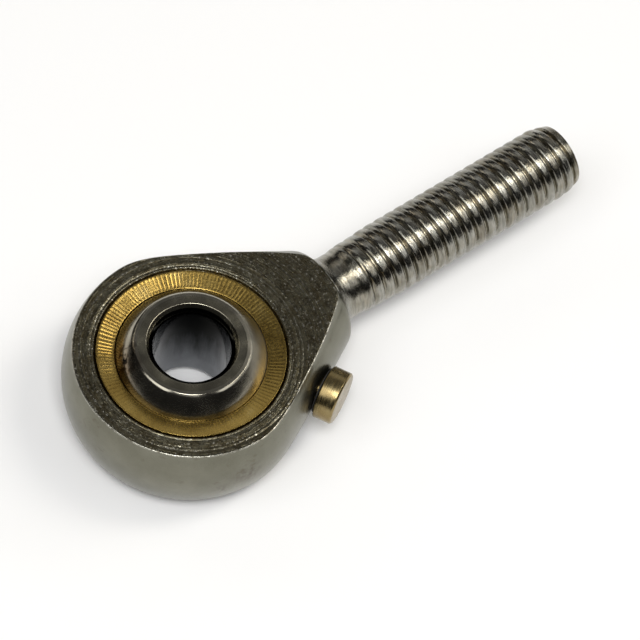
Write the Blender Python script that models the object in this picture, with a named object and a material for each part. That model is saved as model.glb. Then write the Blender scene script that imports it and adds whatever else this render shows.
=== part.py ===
"""Male rod end bearing with an M6 x 1 shank.

Frame: origin at the centre of the ball, +Z along the bore of the ball, +X along
the threaded shank, the lubrication plug on the -Y side.  Units are metres.
The body is one forging that is turned about the shank axis, faced flat on both
sides and bored along Z.  Two brass inserts meet at the equator of the ball.
"""
import math

import bmesh
import bpy
from mathutils import Matrix

MM = 0.001

# Head of the forging: a sphere, a rounded turn, and a cone that narrows to the shoulder.
HEAD_RADIUS = 9.75 * MM
HEAD_HALF_THICKNESS = 3.45 * MM
CONE_RADIUS_AT_CENTRE = 10.82 * MM
CONE_SLOPE = 0.5367
TURN_START_X = 1.40 * MM
TURN_END_X = 4.80 * MM
SHOULDER_X = 12.85 * MM
SHOULDER_ROUND = 0.40 * MM
NECK_RADIUS = 2.72 * MM
NECK_FILLET = 0.40 * MM
NECK_END_X = 15.35 * MM
NECK_TIP_X = 15.80 * MM
NECK_TIP_RADIUS = 2.20 * MM

# Shank thread, M6 x 1, right hand.
THREAD_PITCH = 1.0 * MM
THREAD_CREST_RADIUS = 2.97 * MM
THREAD_ROOT_RADIUS = 2.40 * MM
THREAD_START_X = 15.00 * MM
THREAD_START_RADIUS = 2.62 * MM
THREAD_SHALLOW_X = (15.55 * MM, 17.20 * MM)
THREAD_SHALLOW_RADIUS = 2.86 * MM
THREAD_FULL_X = 18.70 * MM
SHANK_END_X = 36.50 * MM
TIP_CHAMFER = 1.20 * MM
TIP_RADIUS = 2.62 * MM
THREAD_CREST_WIDTH = 0.16
THREAD_ROOT_WIDTH = 0.22

# Seat for the brass inserts.
SEAT_BORE_RADIUS = 7.30 * MM
STAKE_GROOVE_RADIUS = 7.58 * MM
STAKE_GROOVE_DEPTH = 0.22 * MM

# Brass inserts.
INSERT_OUTER_RADIUS = 7.25 * MM
INSERT_MOUTH_RADIUS = 5.83 * MM
INSERT_MOUTH_Z = 3.04 * MM
INSERT_FACE_Z = 3.38 * MM
INSERT_EDGE_RADIUS = 7.12 * MM
INSERT_HALF_GAP = 0.03 * MM
GREASE_GROOVE = 0.32 * MM
SEAT_SPHERE_RADIUS = 6.58 * MM

# Ball.
BALL_RADIUS = 6.53 * MM
BALL_HALF_WIDTH = 4.75 * MM
BORE_RADIUS = 3.0 * MM
BORE_MOUTH_RADIUS = 3.47 * MM
BORE_CHAMFER_DEPTH = 0.62 * MM

# Lubrication plug, square to the cone on the -Y side.
PLUG_BASE_X = 7.67 * MM
PLUG_ANGLE = math.atan(CONE_SLOPE)
PLUG_HEAD_RADIUS = 2.12 * MM
PLUG_HEAD_START = 0.26 * MM
PLUG_HEAD_END = 1.80 * MM
PLUG_CHAMFER = 0.16 * MM
PLUG_STEM_RADIUS = 1.20 * MM
PLUG_STEM_DEPTH = 2.60 * MM
PLUG_HOLE_RADIUS = 1.25 * MM
PLUG_HOLE_DEPTH = 3.70 * MM
SEAL_INNER_RADIUS = 1.26 * MM
SEAL_OUTER_RADIUS = 1.86 * MM
SEAL_START = 0.03 * MM
SEAL_END = 0.22 * MM

HEAD_SEGMENTS = 72
RING_SEGMENTS = 60
THREAD_SEGMENTS = 20
PLUG_SEGMENTS = 28
SMOOTH_ANGLE = math.radians(32.0)


def clear_scene():
    for obj in list(bpy.data.objects):
        bpy.data.objects.remove(obj, do_unlink=True)


def make_material(name, colour, roughness, metallic):
    material = bpy.data.materials.new(name)
    material.use_nodes = True
    shader = material.node_tree.nodes["Principled BSDF"]
    shader.inputs["Base Color"].default_value = (*colour, 1.0)
    shader.inputs["Roughness"].default_value = roughness
    shader.inputs["Metallic"].default_value = metallic
    return material


def finish_mesh(name, bm, material):
    bmesh.ops.recalc_face_normals(bm, faces=bm.faces)
    mesh = bpy.data.meshes.new(name)
    bm.to_mesh(mesh)
    bm.free()
    mesh.shade_smooth()
    mesh.set_sharp_from_angle(angle=SMOOTH_ANGLE)
    obj = bpy.data.objects.new(name, mesh)
    bpy.context.scene.collection.objects.link(obj)
    if material is not None:
        mesh.materials.append(material)
    return obj


def hide_cutter(obj):
    obj.hide_render = True
    obj.display_type = 'WIRE'
    return obj


def add_boolean(obj, cutter, operation):
    modifier = obj.modifiers.new(cutter.name, 'BOOLEAN')
    modifier.operation = operation
    modifier.solver = 'EXACT'
    modifier.object = cutter


def turned(name, profile, segments, material=None):
    """Turn a closed (radius, z) outline about Z; radius 0 closes on the axis."""
    bm = bmesh.new()
    rings = []
    for radius, z in profile:
        if radius <= 0.0:
            rings.append([bm.verts.new((0.0, 0.0, z))])
            continue
        ring = []
        for step in range(segments):
            angle = 2.0 * math.pi * step / segments
            ring.append(bm.verts.new((radius * math.cos(angle), radius * math.sin(angle), z)))
        rings.append(ring)
    for first, second in zip(rings, rings[1:] + rings[:1]):
        join_rings(bm, first, second, segments)
    return finish_mesh(name, bm, material)


def join_rings(bm, first, second, segments):
    if len(first) == 1 and len(second) == 1:
        return
    for step in range(segments):
        following = (step + 1) % segments
        corners = []
        for ring, index in ((first, step), (first, following), (second, following), (second, step)):
            vertex = ring[index % len(ring)]
            if vertex not in corners:
                corners.append(vertex)
        bm.faces.new(corners)


def arc(centre, radius, start, end, steps):
    """Points of an arc in the (radius, z) plane, angles in radians from +radius."""
    points = []
    for step in range(steps + 1):
        angle = start + (end - start) * step / steps
        points.append((centre[0] + radius * math.cos(angle), centre[1] + radius * math.sin(angle)))
    return points


def lay_along_x(obj):
    """Turn a lathe-made mesh so that its axis of revolution becomes +X."""
    obj.data.transform(Matrix.Rotation(math.radians(90.0), 4, 'Y'))


def cone_radius(x):
    return CONE_RADIUS_AT_CENTRE - CONE_SLOPE * x


def rounded_turn(steps):
    """(radius, x) points that lead smoothly from the sphere of the head into its cone."""
    start_radius = math.sqrt(HEAD_RADIUS ** 2 - TURN_START_X ** 2)
    start_slope = TURN_START_X / start_radius
    drop = CONE_RADIUS_AT_CENTRE - start_radius - start_slope * TURN_START_X
    corner_x = drop / (CONE_SLOPE - start_slope)
    corners = (
        (start_radius, TURN_START_X),
        (cone_radius(corner_x), corner_x),
        (cone_radius(TURN_END_X), TURN_END_X),
    )
    points = []
    for step in range(steps + 1):
        t = step / steps
        weights = ((1.0 - t) ** 2, 2.0 * t * (1.0 - t), t * t)
        radius = sum(weight * corner[0] for weight, corner in zip(weights, corners))
        x = sum(weight * corner[1] for weight, corner in zip(weights, corners))
        points.append((radius, x))
    return points


def head_outline():
    """(radius, x) outline of the turned blank, from the crown to the neck tip."""
    end_angle = math.asin(0.5 * TURN_START_X / HEAD_RADIUS)
    outline = [(0.0, -HEAD_RADIUS)]
    outline += arc((0.0, 0.0), HEAD_RADIUS, math.radians(-82.0), end_angle, 17)
    outline += rounded_turn(6)
    outline.append((cone_radius(SHOULDER_X - SHOULDER_ROUND), SHOULDER_X - SHOULDER_ROUND))
    outline.append((cone_radius(SHOULDER_X) - 0.14 * MM, SHOULDER_X))
    outline.append((cone_radius(SHOULDER_X) - 0.46 * MM, SHOULDER_X + 0.16 * MM))
    fillet_centre = (NECK_RADIUS + NECK_FILLET, SHOULDER_X + 0.24 * MM + NECK_FILLET)
    outline += arc(fillet_centre, NECK_FILLET, math.radians(-90.0), math.radians(-180.0), 3)
    outline.append((NECK_RADIUS, NECK_END_X))
    outline.append((NECK_TIP_RADIUS, NECK_TIP_X))
    outline.append((0.0, NECK_TIP_X))
    return outline


def thread_outline():
    """(offset along the pitch, radius) of one thread, as fractions and metres."""
    half_crest = THREAD_CREST_WIDTH / 2.0
    half_root = THREAD_ROOT_WIDTH / 2.0
    return (
        (half_crest, THREAD_CREST_RADIUS),
        (0.5 - half_root, THREAD_ROOT_RADIUS),
        (0.5 + half_root, THREAD_ROOT_RADIUS),
        (1.0 - half_crest, THREAD_CREST_RADIUS),
    )


def helical_rod(name):
    """A right-hand threaded rod about +X, longer than the finished thread."""
    outline = thread_outline()
    start_x = THREAD_START_X - 1.5 * THREAD_PITCH
    end_x = SHANK_END_X + 1.5 * THREAD_PITCH
    turns = int(round((end_x - start_x) / THREAD_PITCH))
    steps = turns * THREAD_SEGMENTS
    bm = bmesh.new()
    columns = []
    for column, (offset, radius) in enumerate(outline):
        count = steps + 1 + (THREAD_SEGMENTS if column == 0 else 0)
        verts = []
        for step in range(count):
            angle = 2.0 * math.pi * step / THREAD_SEGMENTS
            x = start_x + THREAD_PITCH * (step / THREAD_SEGMENTS + offset)
            verts.append(bm.verts.new((x, radius * math.cos(angle), radius * math.sin(angle))))
        columns.append(verts)
    columns.append(columns[0][THREAD_SEGMENTS:])
    for left, right in zip(columns, columns[1:]):
        for step in range(steps):
            bm.faces.new((left[step], left[step + 1], right[step + 1], right[step]))
    first_loop = columns[0][:THREAD_SEGMENTS + 1] + [c[0] for c in columns[3:0:-1]]
    last_loop = columns[0][steps:] + [c[steps] for c in columns[3:0:-1]]
    first_centre = bm.verts.new((start_x, 0.0, 0.0))
    last_centre = bm.verts.new((end_x + THREAD_PITCH, 0.0, 0.0))
    for loop, centre in ((first_loop, first_centre), (last_loop, last_centre)):
        for here, there in zip(loop, loop[1:] + loop[:1]):
            bm.faces.new((here, there, centre))
    return finish_mesh(name, bm, None)


def build_thread():
    rod = helical_rod("cut_thread")
    outline = [
        (0.0, THREAD_START_X),
        (THREAD_START_RADIUS, THREAD_START_X),
        (THREAD_SHALLOW_RADIUS, THREAD_SHALLOW_X[0]),
        (THREAD_SHALLOW_RADIUS, THREAD_SHALLOW_X[1]),
        (THREAD_CREST_RADIUS + 0.05 * MM, THREAD_FULL_X),
        (THREAD_CREST_RADIUS + 0.05 * MM, SHANK_END_X - TIP_CHAMFER),
        (TIP_RADIUS, SHANK_END_X),
        (0.0, SHANK_END_X),
    ]
    envelope = hide_cutter(turned("cut_thread_envelope", outline, THREAD_SEGMENTS * 2))
    lay_along_x(envelope)
    add_boolean(rod, envelope, 'INTERSECT')
    return hide_cutter(rod)


def build_face_slab():
    bm = bmesh.new()
    bmesh.ops.create_cube(bm, size=1.0)
    size = (60.0 * MM, 30.0 * MM, 2.0 * HEAD_HALF_THICKNESS)
    bmesh.ops.scale(bm, vec=size, verts=bm.verts)
    bmesh.ops.translate(bm, vec=(15.0 * MM, 0.0, 0.0), verts=bm.verts)
    return hide_cutter(finish_mesh("cut_face_slab", bm, None))


def build_seat_bore():
    top = HEAD_HALF_THICKNESS
    flare_start = top - STAKE_GROOVE_DEPTH
    outline = [
        (0.0, -2.0 * top),
        (STAKE_GROOVE_RADIUS, -2.0 * top),
        (STAKE_GROOVE_RADIUS, -top),
        (SEAT_BORE_RADIUS, -flare_start),
        (SEAT_BORE_RADIUS, flare_start),
        (STAKE_GROOVE_RADIUS, top),
        (STAKE_GROOVE_RADIUS, 2.0 * top),
        (0.0, 2.0 * top),
    ]
    return hide_cutter(turned("cut_seat_bore", outline, RING_SEGMENTS))


def plug_matrix():
    """Local +Z of the plug points out of the cone, square to its surface."""
    base = Matrix.Translation((PLUG_BASE_X, -cone_radius(PLUG_BASE_X), 0.0))
    turn = Matrix.Rotation(PLUG_ANGLE, 4, 'Z')
    return base @ turn @ Matrix.Rotation(math.radians(90.0), 4, 'X')


def build_plug_hole():
    outline = [
        (0.0, -PLUG_HOLE_DEPTH),
        (PLUG_HOLE_RADIUS, -PLUG_HOLE_DEPTH),
        (PLUG_HOLE_RADIUS, PLUG_HEAD_END),
        (0.0, PLUG_HEAD_END),
    ]
    cutter = turned("cut_plug_hole", outline, PLUG_SEGMENTS)
    cutter.data.transform(plug_matrix())
    return hide_cutter(cutter)


def build_housing():
    steel = make_material("steel_forging", (0.46, 0.45, 0.42), 0.34, 1.0)
    housing = turned("housing", head_outline(), HEAD_SEGMENTS, steel)
    lay_along_x(housing)
    add_boolean(housing, build_face_slab(), 'INTERSECT')
    add_boolean(housing, build_seat_bore(), 'DIFFERENCE')
    add_boolean(housing, build_plug_hole(), 'DIFFERENCE')
    add_boolean(housing, build_thread(), 'UNION')
    return housing


def build_insert(name, side):
    """One brass half: spherical seat inside, shallow cone on the open face."""
    brass = make_material(name + "_brass", (0.72, 0.56, 0.27), 0.33, 1.0)
    low = math.asin(INSERT_HALF_GAP / SEAT_SPHERE_RADIUS)
    high = math.asin(2.96 * MM / SEAT_SPHERE_RADIUS)
    outline = arc((0.0, 0.0), SEAT_SPHERE_RADIUS, low, high, 5)
    outline += [
        (INSERT_MOUTH_RADIUS, INSERT_MOUTH_Z),
        (INSERT_EDGE_RADIUS, INSERT_FACE_Z),
        (INSERT_OUTER_RADIUS, INSERT_FACE_Z - 0.13 * MM),
        (INSERT_OUTER_RADIUS, INSERT_HALF_GAP + GREASE_GROOVE),
        (INSERT_OUTER_RADIUS - GREASE_GROOVE, INSERT_HALF_GAP),
    ]
    outline = [(radius, side * z) for radius, z in outline]
    return turned(name, outline, RING_SEGMENTS, brass)


def build_ball():
    steel = make_material("ball_steel", (0.50, 0.50, 0.49), 0.16, 1.0)
    rim = math.asin(BALL_HALF_WIDTH / BALL_RADIUS)
    chamfer_z = BALL_HALF_WIDTH - BORE_CHAMFER_DEPTH
    outline = arc((0.0, 0.0), BALL_RADIUS, -rim, rim, 10)
    outline += [
        (BORE_MOUTH_RADIUS, BALL_HALF_WIDTH),
        (BORE_RADIUS, chamfer_z),
        (BORE_RADIUS, -chamfer_z),
        (BORE_MOUTH_RADIUS, -BALL_HALF_WIDTH),
    ]
    return turned("ball", outline, RING_SEGMENTS, steel)


def place_on_plug_axis(obj):
    obj.data.transform(Matrix.Rotation(PLUG_ANGLE, 4, 'Z') @ Matrix.Rotation(math.radians(90.0), 4, 'X'))
    obj.location = (PLUG_BASE_X, -cone_radius(PLUG_BASE_X), 0.0)


def build_plug():
    brass = make_material("plug_brass", (0.70, 0.56, 0.30), 0.28, 1.0)
    outline = [
        (0.0, -PLUG_STEM_DEPTH),
        (PLUG_STEM_RADIUS - PLUG_CHAMFER, -PLUG_STEM_DEPTH),
        (PLUG_STEM_RADIUS, -PLUG_STEM_DEPTH + PLUG_CHAMFER),
        (PLUG_STEM_RADIUS, PLUG_HEAD_START),
        (PLUG_HEAD_RADIUS, PLUG_HEAD_START),
        (PLUG_HEAD_RADIUS, PLUG_HEAD_END - PLUG_CHAMFER),
        (PLUG_HEAD_RADIUS - PLUG_CHAMFER, PLUG_HEAD_END),
        (0.0, PLUG_HEAD_END),
    ]
    plug = turned("lube_plug", outline, PLUG_SEGMENTS, brass)
    place_on_plug_axis(plug)
    return plug


def build_seal():
    rubber = make_material("seal_rubber", (0.02, 0.02, 0.02), 0.60, 0.0)
    outline = [
        (SEAL_INNER_RADIUS, SEAL_START),
        (SEAL_OUTER_RADIUS, SEAL_START),
        (SEAL_OUTER_RADIUS, SEAL_END),
        (SEAL_INNER_RADIUS, SEAL_END),
    ]
    seal = turned("plug_seal", outline, PLUG_SEGMENTS, rubber)
    place_on_plug_axis(seal)
    return seal


def main():
    clear_scene()
    build_housing()
    build_insert("race_insert_upper", 1.0)
    build_insert("race_insert_lower", -1.0)
    build_ball()
    build_plug()
    build_seal()


main()
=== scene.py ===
"""Looks of the male rod end bearing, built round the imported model.

Shapes are in millimetres until mesh_object() turns them into metres. Lamps, the
floor and the camera's lens are in Blender's own units. The frame is the part's
own: origin at the ball centre, +Z along the bore and +X along the shank.
"""

import math

import bpy
import numpy as np
from mathutils import Matrix, Vector


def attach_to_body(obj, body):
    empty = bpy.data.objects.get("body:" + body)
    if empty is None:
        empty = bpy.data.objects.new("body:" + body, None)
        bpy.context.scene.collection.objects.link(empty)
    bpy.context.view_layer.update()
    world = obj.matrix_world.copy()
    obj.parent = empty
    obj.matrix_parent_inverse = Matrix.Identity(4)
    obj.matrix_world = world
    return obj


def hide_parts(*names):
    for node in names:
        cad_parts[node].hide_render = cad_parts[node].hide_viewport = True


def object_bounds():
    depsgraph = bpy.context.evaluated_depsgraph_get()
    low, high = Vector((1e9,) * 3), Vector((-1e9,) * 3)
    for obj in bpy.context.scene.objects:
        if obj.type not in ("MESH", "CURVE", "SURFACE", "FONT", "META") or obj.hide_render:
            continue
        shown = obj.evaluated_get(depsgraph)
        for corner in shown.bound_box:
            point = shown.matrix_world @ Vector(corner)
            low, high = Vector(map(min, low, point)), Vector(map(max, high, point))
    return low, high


MM = 0.001

# Head of the forging: (sphere radius, cone radius at the centre, width of the turn
# between them) half way up the side and at the edge of the faces.
SIDE_SHAPE = (9.75, 10.85, 0.60)
EDGE_SHAPE = (9.68, 10.66, 1.05)
SPHERE_END_X = 3.6
CONE_SLOPE = 0.5367
HALF_THICKNESS = 3.45
SHOULDER_X = 12.85
SHOULDER_ROUND = 0.70
SEAT_RADIUS = 7.30
EDGE_ROUND = 0.09

# Thread M6 x 1, right hand, and the plain neck before it. The crests are shallow at
# first: (station, crest radius) and (station, share of the full depth).
NECK_START = 12.72
NECK_FLARE_END = 14.1
NECK_RADIUS = 2.70
PITCH = 1.0
CREST_RADIUS = 2.97
ROOT_RADIUS = 2.63
CREST_HALF_WIDTH = 0.29
CREST_CROWN = 0.17
THREAD_START = 14.7
THREAD_STEP = 0.03
SHALLOW_CREST = (
    (14.7, 2.66), (15.5, 2.83), (17.2, 2.87), (18.6, 2.97), (35.0, 2.97), (36.0, 2.80),
)
SHALLOW_DEPTH = ((14.7, 0.0), (16.0, 0.55), (18.6, 1.0))
SHANK_END = 36.5
TIP_RADIUS = 2.60
TIP_CHAMFER = 1.25

# Brass inserts and ball.
SEAT_SPHERE = 6.58
INSERT_OUTER = 7.25
CREASE_COUNT = 138
CREASE_DEPTH = 0.036
MOUTH_RADIUS = 5.83
MOUTH_Z = 3.04
BALL_RADIUS = 6.53
BALL_HALF_WIDTH = 4.75
BORE_RADIUS = 3.0
BORE_MOUTH = 3.47
BORE_CHAMFER = 0.62

# Plug, square to the cone on the -Y side.
PLUG_BASE = (7.67, -6.704, 0.0)
PLUG_RADIUS = 2.12
PLUG_START = 0.26
PLUG_END = 1.80
SEAL_RADIUS = 1.56

# Camera: the photograph's view of the part.
CAMERA_AZIMUTH = 45.475
CAMERA_ELEVATION = 59.063
CAMERA_ROLL = 10.322
CAMERA_DISTANCE = 290.1
CAMERA_TARGET = (11.315, -1.696, 0.0)
CAMERA_LENS = 210.54


def smooth_step(t):
    t = np.clip(t, 0.0, 1.0)
    return t * t * (3.0 - 2.0 * t)


def smooth_max(a, b, width):
    h = np.clip(1.0 - np.abs(a - b) / width, 0.0, 1.0)
    return np.maximum(a, b) + 0.25 * width * h * h


# ---------------------------------------------------------------- meshes


def mesh_object(name, verts, faces, materials=(), face_slots=None):
    mesh = bpy.data.meshes.new(name)
    mesh.from_pydata((np.asarray(verts) * MM).tolist(), [], faces)
    mesh.update()
    mesh.shade_smooth()
    for material in materials:
        mesh.materials.append(material)
    if face_slots is not None:
        mesh.polygons.foreach_set("material_index", np.asarray(face_slots, dtype=np.int32))
    obj = bpy.data.objects.new(name, mesh)
    bpy.context.scene.collection.objects.link(obj)
    return obj


def grid_faces(rows, columns, close_rows=False):
    """Quads of a grid that is closed round its columns."""
    faces = []
    last = rows if close_rows else rows - 1
    for row in range(last):
        a = row * columns
        b = ((row + 1) % rows) * columns
        for column in range(columns):
            n = (column + 1) % columns
            faces.append((a + column, a + n, b + n, b + column))
    return faces


def cap_faces(first, columns, centre, flip):
    faces = []
    for column in range(columns):
        n = (column + 1) % columns
        face = (first + column, first + n, centre)
        faces.append(face[::-1] if flip else face)
    return faces


def turned_radius(x, shape):
    """Radius of the head about the shank axis: a sphere that turns into a cone."""
    sphere, cone, width = shape
    level = math.sqrt(sphere ** 2 - SPHERE_END_X ** 2)
    ball = np.sqrt(np.maximum(sphere ** 2 - np.minimum(x, SPHERE_END_X) ** 2, 0.0))
    ball = ball - np.maximum(x - SPHERE_END_X, 0.0) * SPHERE_END_X / level
    return -smooth_max(-ball, CONE_SLOPE * x - cone, width)


def head_surface(cos_t, sin_t, z):
    """Distance from the Z axis to the turned side of the head, by bisection."""
    low = np.full(np.broadcast(cos_t, z).shape, 7.0)
    high = np.full(low.shape, 14.5)
    share = np.abs(z / HALF_THICKNESS) ** 3
    for _ in range(40):
        rho = 0.5 * (low + high)
        x = rho * cos_t
        y = rho * sin_t
        radius = turned_radius(x, SIDE_SHAPE) * (1.0 - share) + turned_radius(x, EDGE_SHAPE) * share
        side = np.sqrt(y * y + z * z) - radius
        inside = smooth_max(side, x - SHOULDER_X, SHOULDER_ROUND) < 0.0
        low = np.where(inside, rho, low)
        high = np.where(inside, high, rho)
    return 0.5 * (low + high)


def head_angles():
    """Directions round Z, closer together where the shoulder ends the top face."""
    near = np.linspace(-26.0, 26.0, 260)
    far = np.linspace(26.0, 334.0, 500)[1:-1]
    return np.radians(np.concatenate([near, far]))


# Turned profile of the faces: (distance from the bore axis, height over the face).
LIP_PROFILE = (
    (7.30, -0.26), (7.36, -0.22), (7.42, -0.12), (7.46, -0.03), (7.50, -0.008), (7.56, -0.010),
    (7.60, -0.045), (7.66, -0.060), (7.72, -0.045), (7.78, -0.010), (7.90, 0.0), (8.20, 0.0),
    (8.25, -0.018), (8.29, -0.018), (8.34, 0.0), (8.50, 0.0), (8.55, -0.020), (8.59, -0.020),
    (8.64, 0.0),
)


def head_rows(angles):
    """Rows of points round the head: top face, edge, side, edge, bottom face, seat."""
    cos_t = np.cos(angles)
    sin_t = np.sin(angles)
    brim = HALF_THICKNESS - EDGE_ROUND
    rim = head_surface(cos_t, sin_t, np.full(angles.shape, brim))
    rows = []
    kinds = []

    def add(radius, z, kind):
        radius = np.broadcast_to(radius, angles.shape)
        z = np.broadcast_to(z, angles.shape)
        rows.append(np.stack([radius * cos_t, radius * sin_t, z], -1))
        kinds.append(kind)

    def face(sign):
        last = LIP_PROFILE[-1][0]
        band = [(radius, sign * (HALF_THICKNESS + drop), 0) for radius, drop in LIP_PROFILE]
        for share in (0.15, 0.35, 0.6, 0.85):
            band.append((last + share * (rim - EDGE_ROUND - last), sign * HALF_THICKNESS, 0))
        for step in range(5):
            phi = math.radians(90.0 - 22.5 * step)
            radius = rim - EDGE_ROUND * (1.0 - math.cos(phi))
            band.append((radius, sign * (brim + EDGE_ROUND * math.sin(phi)), 2))
        return band

    for radius, z, kind in face(1.0):
        add(radius, z, kind)
    for z in np.linspace(brim, -brim, 19)[1:-1]:
        add(head_surface(cos_t, sin_t, np.full(angles.shape, z)), z, 1)
    for radius, z, kind in reversed(face(-1.0)):
        add(radius, z, kind)
    add(SEAT_RADIUS, -1.5, 0)
    add(SEAT_RADIUS, 1.5, 0)
    return np.stack(rows), kinds


def build_head(face_steel, side_steel, worn_steel):
    angles = head_angles()
    rows, kinds = head_rows(angles)
    count, columns = rows.shape[0], rows.shape[1]
    faces = [face[::-1] for face in grid_faces(count, columns, close_rows=True)]
    slots = []
    for row in range(count):
        slot = min(kinds[row], kinds[(row + 1) % count])
        if kinds[row] == kinds[(row + 1) % count] == 2:
            slot = 2
        slots.extend([slot] * columns)
    verts = rows.reshape(-1, 3)
    return mesh_object("rod_end_head", verts, faces, (face_steel, side_steel, worn_steel), slots)


def thread_radius(x, angle):
    """Radius of the shank at a station and an angle round it."""
    turn = (x / PITCH - angle / (2.0 * math.pi)) % 1.0
    away = np.minimum(turn, 1.0 - turn)
    crown = CREST_CROWN * np.clip(away / CREST_HALF_WIDTH, 0.0, 1.0) ** 4
    t = np.clip((away - CREST_HALF_WIDTH) / (0.5 - CREST_HALF_WIDTH), 0.0, 1.0)
    start = 4.0 * CREST_CROWN * (0.5 - CREST_HALF_WIDTH) / CREST_HALF_WIDTH
    flank = crown + start * t * (1.0 - t) ** 2 + (1.0 - CREST_CROWN) * t * t * (3.0 - 2.0 * t)
    crest = np.interp(x, *zip(*SHALLOW_CREST))
    depth = (CREST_RADIUS - ROOT_RADIUS) * np.interp(x, *zip(*SHALLOW_DEPTH))
    threaded = crest - depth * flank
    fade = smooth_step((x - THREAD_START + 0.3) / 0.7)
    radius = NECK_RADIUS + (threaded - NECK_RADIUS) * fade
    tip = TIP_RADIUS + (SHANK_END - x) * (CREST_RADIUS - TIP_RADIUS) / TIP_CHAMFER
    return np.minimum(radius, tip)


def flare_radius(x):
    """Fillet where the neck runs into the shoulder."""
    reach = np.clip((NECK_FLARE_END - x) / 1.3, 0.0, 1.0)
    return NECK_RADIUS + 1.0 * (1.0 - np.sqrt(1.0 - 0.97 * reach ** 2))


def build_shank(thread_steel):
    columns = 128
    stations = np.concatenate([
        np.linspace(NECK_START, NECK_FLARE_END, 18), [14.2, 14.3, 14.4],
        np.arange(THREAD_START - 0.25, SHANK_END - 0.02, THREAD_STEP), [SHANK_END - 0.02, SHANK_END],
    ])
    angle = 2.0 * math.pi * np.arange(columns) / columns
    x, a = np.meshgrid(stations, angle, indexing="ij")
    radius = np.where(x < 14.15, flare_radius(x), thread_radius(x, a))
    radius[-1] -= 0.03
    ring = np.stack([x, radius * np.cos(a), radius * np.sin(a)], -1)
    rings = [ring.reshape(-1, 3)]
    rows = len(stations)
    for share, sink in ((0.93, 0.0), (0.6, 0.0), (0.3, 0.012), (0.12, 0.02)):
        end = ring[-1].copy()
        end[:, 0] = SHANK_END - sink
        end[:, 1:] *= share
        rings.append(end)
        rows += 1
    centres = np.array([[SHANK_END - 0.02, 0.0, 0.0], [NECK_START, 0.0, 0.0]])
    verts = np.concatenate(rings + [centres])
    faces = grid_faces(rows, columns)
    faces += cap_faces((rows - 1) * columns, columns, len(verts) - 2, False)
    faces += cap_faces(0, columns, len(verts) - 1, True)
    return mesh_object("threaded_shank", verts, [face[::-1] for face in faces], (thread_steel,))


def lathe(name, outline, columns, materials, slots=None, shift=None):
    """Turn a closed (radius, z) outline about Z; shift(radius, z, angle) may move points."""
    angle = 2.0 * math.pi * np.arange(columns) / columns
    outline = np.asarray(outline, dtype=float)
    radius, a = np.meshgrid(outline[:, 0], angle, indexing="ij")
    z = np.repeat(outline[:, 1][:, None], columns, axis=1)
    if shift is not None:
        radius, z = shift(radius, z, a)
    verts = np.stack([radius * np.cos(a), radius * np.sin(a), z], -1).reshape(-1, 3)
    faces = [face[::-1] for face in grid_faces(len(outline), columns, close_rows=True)]
    face_slots = None
    if slots is not None:
        face_slots = np.repeat(np.asarray(slots), columns)
    return mesh_object(name, verts, faces, materials, face_slots)


def arc(centre, radius, start, end, steps):
    """Points of an arc in the (radius, z) plane, angles in degrees from +radius."""
    angles = np.radians(np.linspace(start, end, steps + 1))
    return [(centre[0] + radius * math.cos(t), centre[1] + radius * math.sin(t)) for t in angles]


def rounded(points, radius, steps=3):
    """The closed outline with each corner turned into a small arc of chords."""
    result = []
    count = len(points)
    for index in range(count):
        here = Vector(points[index])
        before = Vector(points[index - 1])
        after = Vector(points[(index + 1) % count])
        back = before - here
        ahead = after - here
        reach = min(radius, 0.45 * back.length, 0.45 * ahead.length)
        start = here + back.normalized() * reach
        end = here + ahead.normalized() * reach
        for step in range(steps + 1):
            t = step / steps
            point = start * (1.0 - t) ** 2 + here * 2.0 * t * (1.0 - t) + end * t * t
            result.append((point.x, point.y))
    return result


def crease(radius, z, a):
    """Fine radial creases in the open brass face, deepest round 100 degrees."""
    beat = np.cos(CREASE_COUNT * a + 1.1 * np.sin(7.0 * a) + 0.8 * np.sin(17.0 * a + 1.0))
    strength = 0.30 + 0.70 * np.exp(-((a - math.radians(100.0)) / 0.95) ** 2)
    strength = strength * (0.8 + 0.2 * np.sin(23.0 * a + 0.4))
    on_face = smooth_step((radius - 5.88) / 0.2) * smooth_step((7.17 - radius) / 0.12)
    on_face = on_face * (np.abs(z) > 2.9)
    dip = CREASE_DEPTH * strength * on_face * np.clip(0.5 + 0.5 * beat, 0.0, 1.0) ** 3
    return radius, z - np.sign(z) * dip


def build_insert(name, side, brass):
    """One half of the race: seat sphere inside, coined shallow cone on the open face."""
    rim = math.degrees(math.asin(MOUTH_Z / SEAT_SPHERE)) - 0.5
    outline = arc((0.0, 0.0), SEAT_SPHERE, 0.3, rim, 14)
    outline += [(MOUTH_RADIUS + 0.01, MOUTH_Z + 0.02), (MOUTH_RADIUS + 0.06, MOUTH_Z + 0.04)]
    for share in np.linspace(0.0, 1.0, 13):
        outline.append((MOUTH_RADIUS + 0.12 + share * 1.27, MOUTH_Z + 0.055 + share * 0.310))
    outline += [(INSERT_OUTER - 0.012, 3.403), (INSERT_OUTER, 3.39), (INSERT_OUTER, 3.30)]
    outline += [(INSERT_OUTER, 0.35), (INSERT_OUTER - 0.32, 0.03)]
    if side < 0.0:
        outline = [(radius, -z) for radius, z in outline][::-1]
    return lathe(name, outline, CREASE_COUNT * 6, (brass,), shift=crease)


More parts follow.
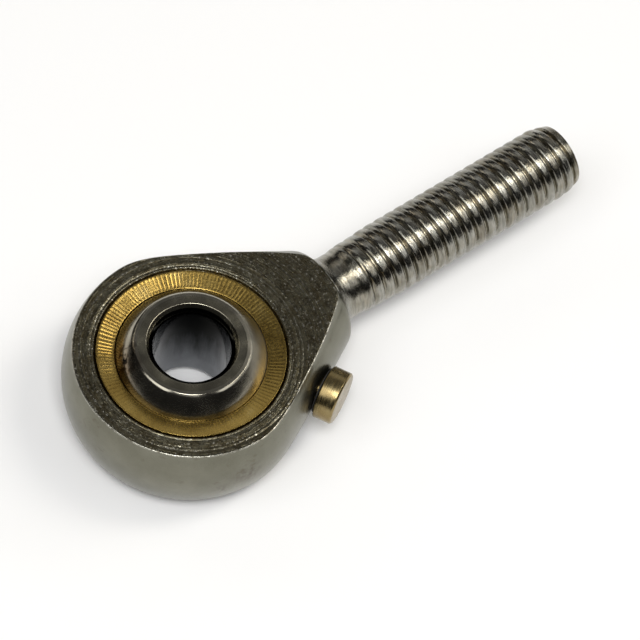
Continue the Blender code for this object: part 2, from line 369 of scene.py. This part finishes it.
def build_ball(face_steel, sphere_steel, bore_steel):
    rim = math.degrees(math.asin(BALL_HALF_WIDTH / BALL_RADIUS))
    outline = []
    slots = []

    def add(points, slot):
        outline.extend(points)
        slots.extend([slot] * len(points))

    flat = BALL_HALF_WIDTH
    edge = BALL_RADIUS * math.cos(math.radians(rim))
    add(arc((0.0, 0.0), BALL_RADIUS, -rim + 0.8, rim - 0.8, 56), 1)
    add(arc((edge - 0.07, flat - 0.085), 0.085, 40.0, 90.0, 4), 1)
    add([(edge - 0.3, flat), (4.0, flat)], 0)
    add(arc((BORE_MOUTH + 0.10, flat - 0.10), 0.10, 90.0, 140.0, 4), 0)
    low = flat - BORE_CHAMFER
    add([(3.28, flat - 0.27), (3.12, flat - 0.47), (3.035, low + 0.05), (3.008, low - 0.04)], 2)
    add([(BORE_RADIUS, low - 0.12), (BORE_RADIUS, 2.0), (BORE_RADIUS, 0.0), (BORE_RADIUS, -2.0)], 2)
    add([(BORE_RADIUS, -low + 0.12), (3.008, -low + 0.04), (3.035, -low - 0.05)], 2)
    add([(3.12, -flat + 0.47), (3.28, -flat + 0.27)], 2)
    add(arc((BORE_MOUTH + 0.10, -flat + 0.10), 0.10, 220.0, 270.0, 4), 0)
    add([(4.0, -flat), (edge - 0.3, -flat)], 0)
    add(arc((edge - 0.07, -flat + 0.085), 0.085, 270.0, 320.0, 4), 1)
    return lathe("ball_polished", outline, 192, (face_steel, sphere_steel, bore_steel), slots)


def plug_matrix():
    """Local +Z points out of the cone, square to its surface, in metres."""
    angle = math.atan(CONE_SLOPE)
    base = Vector(PLUG_BASE) * MM
    turn = Matrix.Rotation(angle, 4, 'Z') @ Matrix.Rotation(math.radians(90.0), 4, 'X')
    return Matrix.Translation(base) @ turn


def build_plug(brass):
    outline = [
        (0.02, -2.55), (1.10, -2.55), (1.18, -2.45), (1.18, 0.24), (1.62, PLUG_START),
        (PLUG_RADIUS - 0.05, PLUG_START), (PLUG_RADIUS, PLUG_START + 0.06),
        (PLUG_RADIUS, 1.0), (PLUG_RADIUS, PLUG_END - 0.13), (PLUG_RADIUS - 0.13, PLUG_END),
        (1.3, PLUG_END), (0.4, PLUG_END - 0.012), (0.02, PLUG_END - 0.02),
    ]
    plug = lathe("lubrication_plug", rounded(outline, 0.035), 128, (brass,))
    plug.matrix_world = plug_matrix()
    return plug


def build_seal(rubber):
    outline = arc((SEAL_RADIUS, 0.125), 0.09, 0.0, 337.5, 15)
    outline = [(SEAL_RADIUS + (radius - SEAL_RADIUS) * 3.2, z) for radius, z in outline]
    seal = lathe("plug_seal_ring", outline, 96, (rubber,))
    seal.matrix_world = plug_matrix()
    return seal


# ------------------------------------------------------------- materials


class Nodes:
    """Small helper that adds nodes to one material and links them."""

    def __init__(self, name, colour, roughness, metallic=1.0, anisotropic=0.0):
        self.material = bpy.data.materials.new(name)
        self.material.use_nodes = True
        self.tree = self.material.node_tree
        self.shader = self.tree.nodes["Principled BSDF"]
        self.shader.inputs["Base Color"].default_value = (*colour, 1.0)
        self.shader.inputs["Roughness"].default_value = roughness
        self.shader.inputs["Metallic"].default_value = metallic
        self.shader.inputs["Anisotropic"].default_value = anisotropic

    def node(self, kind, **values):
        node = self.tree.nodes.new(kind)
        for key, value in values.items():
            setattr(node, key, value)
        return node

    def link(self, source, target):
        self.tree.links.new(source, target)

    def millimetres(self, scale=(1.0, 1.0, 1.0)):
        """Object position in millimetres, stretched by scale."""
        coords = self.node("ShaderNodeTexCoord")
        mapping = self.node("ShaderNodeMapping")
        mapping.inputs["Scale"].default_value = [1000.0 * s for s in scale]
        self.link(coords.outputs["Object"], mapping.inputs["Vector"])
        return mapping.outputs["Vector"]

    def noise(self, vector, scale, detail=3.0, roughness=0.55):
        node = self.node("ShaderNodeTexNoise")
        node.inputs["Scale"].default_value = scale
        node.inputs["Detail"].default_value = detail
        node.inputs["Roughness"].default_value = roughness
        self.link(vector, node.inputs["Vector"])
        return node.outputs["Fac"]

    def math(self, operation, a, b=None):
        node = self.node("ShaderNodeMath", operation=operation)
        for index, value in enumerate((a, b)):
            if value is None:
                continue
            if isinstance(value, (int, float)):
                node.inputs[index].default_value = value
            else:
                self.link(value, node.inputs[index])
        return node.outputs[0]

    def ramp(self, value, stops):
        node = self.node("ShaderNodeValToRGB")
        elements = node.color_ramp.elements
        for index, (position, colour) in enumerate(stops):
            element = elements[index] if index < len(elements) else elements.new(position)
            element.position = position
            element.color = (*colour, 1.0)
        self.link(value, node.inputs["Fac"])
        return node.outputs["Color"]

    def spread(self, value, low, high, out_low, out_high):
        node = self.node("ShaderNodeMapRange")
        node.inputs["From Min"].default_value = low
        node.inputs["From Max"].default_value = high
        node.inputs["To Min"].default_value = out_low
        node.inputs["To Max"].default_value = out_high
        self.link(value, node.inputs["Value"])
        return node.outputs["Result"]

    def mix(self, share, first, second, blend='MIX'):
        node = self.node("ShaderNodeMix", data_type='RGBA', blend_type=blend)
        for index, value in ((0, share), (6, first), (7, second)):
            socket = node.inputs[index]
            if isinstance(value, (int, float)):
                socket.default_value = value
            elif isinstance(value, tuple):
                socket.default_value = (*value, 1.0)
            else:
                self.link(value, socket)
        return node.outputs[2]

    def from_axis(self, drop):
        """Distance from one axis in millimetres: drop is the axis letter."""
        keep = {"X": (0.0, 1.0, 1.0), "Z": (1.0, 1.0, 0.0)}[drop]
        node = self.node("ShaderNodeVectorMath", operation='LENGTH')
        self.link(self.millimetres(keep), node.inputs[0])
        return node.outputs["Value"]

    def along_axis(self, letter):
        """Object position along one axis in millimetres."""
        node = self.node("ShaderNodeSeparateXYZ")
        self.link(self.millimetres(), node.inputs[0])
        return node.outputs[letter]

    def near(self, point, inner, outer):
        """1 within inner millimetres of a point of the object, 0 beyond outer."""
        node = self.node("ShaderNodeVectorMath", operation='DISTANCE')
        self.link(self.millimetres(), node.inputs[0])
        node.inputs[1].default_value = point
        return self.spread(node.outputs["Value"], inner, outer, 1.0, 0.0)

    def lines(self, value, scale, detail=4.0):
        """Noise that varies along one measured value only."""
        node = self.node("ShaderNodeTexNoise", noise_dimensions='1D')
        node.inputs["Scale"].default_value = scale
        node.inputs["Detail"].default_value = detail
        node.inputs["Roughness"].default_value = 0.6
        self.link(value, node.inputs["W"])
        return node.outputs["Fac"]

    def bump(self, height, distance, strength=1.0, below=None):
        node = self.node("ShaderNodeBump")
        node.inputs["Strength"].default_value = strength
        node.inputs["Distance"].default_value = distance * MM
        self.link(height, node.inputs["Height"])
        if below is not None:
            self.link(below, node.inputs["Normal"])
        return node.outputs["Normal"]

    def tangent(self, axis):
        node = self.node("ShaderNodeTangent", direction_type='RADIAL', axis=axis)
        self.link(node.outputs["Tangent"], self.shader.inputs["Tangent"])

    def finish(self, colour=None, roughness=None, normal=None):
        if colour is not None:
            self.link(colour, self.shader.inputs["Base Color"])
        if roughness is not None:
            self.link(roughness, self.shader.inputs["Roughness"])
        if normal is not None:
            self.link(normal, self.shader.inputs["Normal"])
        return self.material


def turned_face_steel():
    """Faced steel under a dark brownish film, with rings round the bore and bright specks."""
    m = Nodes("steel_turned_face", (0.14, 0.13, 0.09), 0.30, anisotropic=0.3)
    radius = m.from_axis("Z")
    rings = m.lines(radius, 5.0, 5.0)
    blotch = m.noise(m.millimetres(), 1.6, 6.0, 0.7)
    grain = m.noise(m.millimetres(), 3.6, 3.0, 0.7)
    specks = m.noise(m.millimetres((1.0, 1.0, 0.3)), 5.0, 1.0, 0.6)
    tone = m.ramp(rings, [
        (0.30, (0.120, 0.110, 0.074)), (0.55, (0.150, 0.140, 0.100)), (0.75, (0.22, 0.21, 0.165)),
    ])
    film = m.ramp(blotch, [(0.38, (0.50, 0.44, 0.34)), (0.62, (1.0, 1.0, 1.0))])
    colour = m.mix(0.9, tone, film, 'MULTIPLY')
    on_ridges = m.spread(rings, 0.45, 0.60, 0.1, 1.0)
    bright = m.math('MULTIPLY', m.spread(specks, 0.60, 0.68, 0.0, 1.0), on_ridges)
    colour = m.mix(bright, colour, (0.55, 0.53, 0.46))
    rough = m.spread(m.math('ADD', rings, grain), 0.75, 1.25, 0.38, 0.20)
    ridges = m.spread(m.lines(radius, 6.5, 1.5), 0.54, 0.62, 0.0, 1.0)
    broken = m.spread(m.noise(m.millimetres(), 1.3, 3.0), 0.40, 0.55, 0.0, 1.0)
    normal = m.bump(rings, 0.022, 0.8)
    normal = m.bump(m.math('MULTIPLY', ridges, broken), 0.030, 0.9, normal)
    normal = m.bump(blotch, 0.030, 0.6, normal)
    normal = m.bump(grain, 0.030, 0.8, normal)
    m.tangent('Z')
    return m.finish(colour, rough, normal)


def satin_steel():
    """Side of the forging: satin steel with fine turning lines, stains and a rubbed dark smear."""
    m = Nodes("steel_satin_side", (0.21, 0.205, 0.165), 0.30, anisotropic=0.25)
    fine = m.noise(m.millimetres((0.35, 1.0, 1.0)), 14.0, 5.0, 0.7)
    cloud = m.noise(m.millimetres(), 0.42, 4.0)
    stain = m.noise(m.millimetres((1.0, 1.0, 1.4)), 0.9, 6.0, 0.65)
    base = m.ramp(cloud, [(0.30, (0.160, 0.156, 0.120)), (0.70, (0.205, 0.201, 0.160))])
    spots = m.spread(stain, 0.60, 0.72, 0.0, 0.55)
    colour = m.mix(spots, base, (0.10, 0.080, 0.052))
    marks = m.noise(m.millimetres((1.0, 1.0, 0.7)), 2.4, 5.0, 0.7)
    wide = m.near((-1.4, -9.6, 0.2), 0.2, 1.7)
    reach = m.math('MAXIMUM', wide, m.near((-3.4, -9.1, -1.0), 0.1, 1.1))
    smear = m.math('MULTIPLY', reach, m.spread(marks, 0.38, 0.66, 0.0, 0.75))
    colour = m.mix(smear, colour, (0.060, 0.040, 0.026))
    rough = m.spread(fine, 0.3, 0.7, 0.24, 0.38)
    normal = m.bump(fine, 0.006, 0.5)
    normal = m.bump(cloud, 0.05, 0.25, normal)
    return m.finish(colour, rough, normal)


def edge_steel():
    """Rubbed edges of the head: brighter, with nicks."""
    m = Nodes("steel_worn_edge", (0.45, 0.44, 0.38), 0.24)
    nicks = m.noise(m.millimetres(), 2.6, 4.0, 0.7)
    tone = m.ramp(nicks, [
        (0.38, (0.13, 0.12, 0.09)), (0.52, (0.40, 0.39, 0.33)), (0.70, (0.62, 0.60, 0.54)),
    ])
    rough = m.spread(nicks, 0.35, 0.65, 0.34, 0.18)
    return m.finish(tone, rough, m.bump(nicks, 0.03, 0.7))


def thread_steel():
    """Rolled thread: bright, scratched round the shank, with brown stains."""
    m = Nodes("steel_rolled_thread", (0.30, 0.29, 0.25), 0.18)
    streak = m.noise(m.millimetres((1.0, 0.12, 0.12)), 5.0, 4.0, 0.75)
    grain = m.noise(m.millimetres(), 6.0, 4.0, 0.7)
    cloud = m.noise(m.millimetres(), 0.7, 5.0, 0.6)
    # Darker and browner towards the thread roots and the neck.
    reach = m.spread(m.from_axis("X"), 2.62, 2.85, 0.0, 1.0)
    root_tone = m.ramp(reach, [(0.0, (0.90, 0.85, 0.75)), (1.0, (1.0, 1.0, 1.0))])
    tone = m.ramp(streak, [
        (0.36, (0.20, 0.195, 0.170)), (0.50, (0.29, 0.285, 0.25)), (0.62, (0.38, 0.37, 0.33)),
    ])
    stain = m.ramp(cloud, [(0.36, (0.64, 0.57, 0.46)), (0.58, (1.0, 1.0, 1.0))])
    colour = m.mix(0.8, tone, root_tone, 'MULTIPLY')
    colour = m.mix(0.7, colour, stain, 'MULTIPLY')
    rough = m.spread(grain, 0.3, 0.7, 0.13, 0.24)
    normal = m.bump(streak, 0.050, 0.8)
    normal = m.bump(grain, 0.012, 0.6, normal)
    return m.finish(colour, rough, normal)


def race_brass():
    """Coined brass ring: golden with paler and darker clouds, fine grain and faint rings."""
    m = Nodes("brass_race", (0.62, 0.43, 0.15), 0.30)
    cloud = m.noise(m.millimetres(), 0.5, 4.0)
    grain = m.noise(m.millimetres(), 8.0, 5.0, 0.7)
    rings = m.lines(m.from_axis("Z"), 6.0, 4.0)
    tone = m.ramp(cloud, [
        (0.30, (0.35, 0.232, 0.060)), (0.55, (0.45, 0.312, 0.088)), (0.75, (0.52, 0.385, 0.140)),
    ])
    dark = m.ramp(grain, [(0.30, (0.72, 0.68, 0.60)), (0.60, (1.0, 1.0, 1.0))])
    colour = m.mix(0.45, tone, dark, 'MULTIPLY')
    rough = m.spread(grain, 0.3, 0.7, 0.20, 0.34)
    normal = m.bump(grain, 0.005, 0.6)
    normal = m.bump(rings, 0.008, 0.4, normal)
    return m.finish(colour, rough, normal)


def plug_brass():
    """Turned brass plug, a little paler, lines round its own axis."""
    m = Nodes("brass_plug", (0.64, 0.50, 0.24), 0.24, anisotropic=0.3)
    lines = m.noise(m.millimetres((0.08, 0.08, 1.0)), 12.0, 4.0, 0.6)
    facing = m.lines(m.from_axis("Z"), 7.0, 3.0)
    cloud = m.noise(m.millimetres(), 0.9, 4.0)
    tone = m.ramp(cloud, [(0.30, (0.23, 0.165, 0.070)), (0.70, (0.31, 0.245, 0.120))])
    rough = m.spread(lines, 0.3, 0.7, 0.17, 0.33)
    normal = m.bump(lines, 0.006, 0.6)
    normal = m.bump(facing, 0.006, 0.35, normal)
    m.tangent('Z')
    return m.finish(tone, rough, normal)


def ball_steel(name, colour, roughness, ring_depth, anisotropic, bore_shade=0.0, painted_reflections_and_haze=False):
    """Bearing steel, ground or polished; painted shade darkens the bore towards the upper face, and
    the sphere gets a painted brass reflection and painted dark reflections on its left.
    """
    m = Nodes(name, colour, roughness, anisotropic=anisotropic)
    rings = m.lines(m.from_axis("Z"), 9.0, 4.0)
    film = m.noise(m.millimetres(), 0.6, 4.0)
    hair = m.noise(m.millimetres((1.0, 0.15, 0.4)), 12.0, 4.0, 0.6)
    dark = tuple(0.72 * c for c in colour)
    tone = m.ramp(film, [(0.30, dark), (0.65, colour)])
    # Painted shade: near black towards the bore's upper face, with a streaky edge.
    if bore_shade > 0.0:
        shade_streaks = m.noise(m.millimetres((1.0, 1.0, 0.12)), 1.6, 4.0, 0.6)
        depth = m.math('ADD', m.along_axis("Z"), m.math('MULTIPLY', shade_streaks, 5.0))
        painted_shade = m.spread(depth, 0.2, 3.6, 0.0, bore_shade)
        tone = m.mix(painted_shade, tone, (0.010, 0.010, 0.009))
    if painted_reflections_and_haze:
        # Painted reflection: a brown patch on the sphere's left stands in for the brass seen in it,
        # and black blobs near the face edge for the dark surroundings seen in it.
        spots = m.noise(m.millimetres(), 1.7, 4.0, 0.65)
        patchy = m.spread(spots, 0.35, 0.60, 0.2, 0.9)
        painted_brass_reflection = m.math('MULTIPLY', m.near((-5.29, 1.93, 3.3), 0.5, 2.6), patchy)
        tone = m.mix(painted_brass_reflection, tone, (0.24, 0.13, 0.045))
        patchy = m.spread(spots, 0.52, 0.56, 0.0, 1.0)
        painted_dark_reflection = m.math('MULTIPLY', m.near((-4.6, 2.2, 4.0), 0.4, 1.8), patchy)
        tone = m.mix(painted_dark_reflection, tone, (0.006, 0.006, 0.005))
    rough = m.spread(film, 0.3, 0.7, roughness * 0.8, roughness * 1.35)
    if painted_reflections_and_haze:
        haze = m.near((4.6, -3.2, 3.6), 1.2, 4.6)
        rough = m.math('ADD', rough, m.math('MULTIPLY', haze, 0.26))
    normal = m.bump(rings, ring_depth, 0.5)
    normal = m.bump(hair, 0.003, 0.4, normal)
    if anisotropic > 0.0:
        m.tangent('Z')
    return m.finish(tone, rough, normal)


def seal_rubber():
    """Black rubber with a fine matt grain."""
    m = Nodes("rubber_seal", (0.018, 0.017, 0.016), 0.55, metallic=0.0)
    grain = m.noise(m.millimetres(), 7.0, 5.0, 0.7)
    tone = m.ramp(grain, [(0.30, (0.010, 0.009, 0.008)), (0.70, (0.030, 0.028, 0.026))])
    rough = m.spread(grain, 0.3, 0.7, 0.45, 0.70)
    return m.finish(tone, rough, m.bump(grain, 0.02, 0.6))


# ----------------------------------------------------------------- stage


FLOOR_HALF_WIDTH = 1.2
FLOOR_GAP = 0.00005


def add_floor(level):
    half = FLOOR_HALF_WIDTH
    mesh = bpy.data.meshes.new("floor")
    corners = [(-half, -half, level), (half, -half, level), (half, half, level), (-half, half, level)]
    mesh.from_pydata(corners, [], [(0, 1, 2, 3)])
    material = bpy.data.materials.new("floor_white")
    material.use_nodes = True
    shader = material.node_tree.nodes["Principled BSDF"]
    shader.inputs["Base Color"].default_value = (0.86, 0.86, 0.86, 1.0)
    shader.inputs["Roughness"].default_value = 0.9
    shader.inputs["Specular IOR Level"].default_value = 0.1
    shader.inputs["Emission Color"].default_value = (1.0, 1.0, 1.0, 1.0)
    shader.inputs["Emission Strength"].default_value = 0.05
    mesh.materials.append(material)
    floor = bpy.data.objects.new("floor", mesh)
    bpy.context.scene.collection.objects.link(floor)


# Soft lamps round the part: name, azimuth, elevation, (width, height) in metres, watts, colour.
WHITE = (1.0, 1.0, 1.0)
LAMPS = (
    ("key_light", 230.0, 67.0, (0.22, 0.22), 2.1, WHITE),
    ("top_light", 224.0, 84.0, (0.08, 0.08), 0.03, WHITE),
    ("right_light", 338.0, 57.0, (0.15, 0.24), 0.85, (1.0, 0.95, 0.85)),
    ("right_low_light", 345.0, 33.0, (0.25, 0.20), 0.42, WHITE),
    ("back_light", 105.0, 32.0, (0.25, 0.20), 0.25, (1.0, 0.92, 0.80)),
    ("left_light", 175.0, 56.0, (0.35, 0.35), 0.85, WHITE),
    ("front_light", 300.0, 50.0, (0.30, 0.30), 0.40, WHITE),
    ("far_low_light", 34.0, 33.0, (0.40, 0.26), 0.17, WHITE),
    ("far_side_light", 68.0, 40.0, (0.22, 0.22), 0.09, WHITE),
    ("far_panel", 44.0, 62.0, (0.30, 0.30), 0.030, WHITE),
)
LAMP_DISTANCE = 0.60
LAMP_AIM = (0.010, 0.0, 0.0)


def toward(azimuth, elevation):
    """Unit vector at an azimuth and elevation in degrees."""
    a = math.radians(azimuth)
    e = math.radians(elevation)
    return Vector((math.cos(a) * math.cos(e), math.sin(a) * math.cos(e), math.sin(e)))


def add_area_light(name, azimuth, elevation, size, power, colour):
    """A rectangular lamp that faces the part."""
    light = bpy.data.lights.new(name, 'AREA')
    light.shape = 'RECTANGLE'
    light.size = size[0]
    light.size_y = size[1]
    light.energy = power
    light.color = colour
    obj = bpy.data.objects.new(name, light)
    direction = toward(azimuth, elevation)
    obj.location = direction * LAMP_DISTANCE + Vector(LAMP_AIM)
    obj.rotation_euler = direction.to_track_quat('Z', 'Y').to_euler()
    bpy.context.scene.collection.objects.link(obj)


def add_world():
    world = bpy.data.worlds.new("studio")
    bpy.context.scene.world = world
    world.use_nodes = True
    background = world.node_tree.nodes["Background"]
    background.inputs["Color"].default_value = (0.02, 0.02, 0.02, 1.0)
    background.inputs["Strength"].default_value = 1.0


def add_camera():
    direction = toward(-90.0 - CAMERA_AZIMUTH, CAMERA_ELEVATION)
    forward = -direction
    right = forward.cross(Vector((0.0, 0.0, 1.0))).normalized()
    up = right.cross(forward)
    roll = math.radians(CAMERA_ROLL)
    tilted_right = right * math.cos(roll) + up * math.sin(roll)
    tilted_up = up * math.cos(roll) - right * math.sin(roll)
    camera = bpy.data.cameras.new("camera")
    camera.lens = CAMERA_LENS
    camera.sensor_width = 36.0
    camera.clip_start = 0.01
    obj = bpy.data.objects.new("camera", camera)
    place = Matrix((tilted_right, tilted_up, direction)).transposed().to_4x4()
    place.translation = (Vector(CAMERA_TARGET) + direction * CAMERA_DISTANCE) * MM
    obj.matrix_world = place
    bpy.context.scene.collection.objects.link(obj)
    bpy.context.scene.camera = obj


def light_stage():
    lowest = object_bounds()[0][2]
    add_floor(lowest - FLOOR_GAP)
    add_world()
    for lamp in LAMPS:
        add_area_light(*lamp)
    bpy.context.scene.view_settings.view_transform = 'Standard'


# -------------------------------------------------------------- assembly


def attach(piece, body, node):
    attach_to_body(piece, body)
    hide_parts(node)


def build_pieces():
    body = "rod_end_body"
    head = build_head(turned_face_steel(), satin_steel(), edge_steel())
    shank = build_shank(thread_steel())
    attach(head, body, "housing")
    attach(shank, body, "housing")
    brass = race_brass()
    attach(build_insert("race_ring_upper", 1.0, brass), body, "race_insert_upper")
    attach(build_insert("race_ring_lower", -1.0, brass), body, "race_insert_lower")
    ground = ball_steel("steel_ball_face", (0.30, 0.28, 0.215), 0.22, 0.005, 0.4)
    # The sphere gets a painted brass reflection and painted dark reflections on its left.
    polished = ball_steel("steel_ball_polished", (0.46, 0.43, 0.35), 0.15, 0.001, 0.0, painted_reflections_and_haze=True)
    # The bore gets painted shade towards its upper face.
    bore = ball_steel("steel_ball_bore", (0.17, 0.178, 0.19), 0.09, 0.001, 0.0, bore_shade=0.95)
    attach(build_ball(ground, polished, bore), "ball", "ball")
    attach(build_plug(plug_brass()), body, "lube_plug")
    attach(build_seal(seal_rubber()), body, "plug_seal")


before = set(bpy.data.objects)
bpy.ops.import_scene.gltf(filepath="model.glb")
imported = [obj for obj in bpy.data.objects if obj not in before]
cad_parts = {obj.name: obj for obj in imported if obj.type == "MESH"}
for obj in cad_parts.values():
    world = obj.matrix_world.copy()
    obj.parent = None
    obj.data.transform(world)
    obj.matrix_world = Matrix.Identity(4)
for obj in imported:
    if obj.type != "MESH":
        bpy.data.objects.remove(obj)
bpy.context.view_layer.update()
build_pieces()
light_stage()
add_camera()
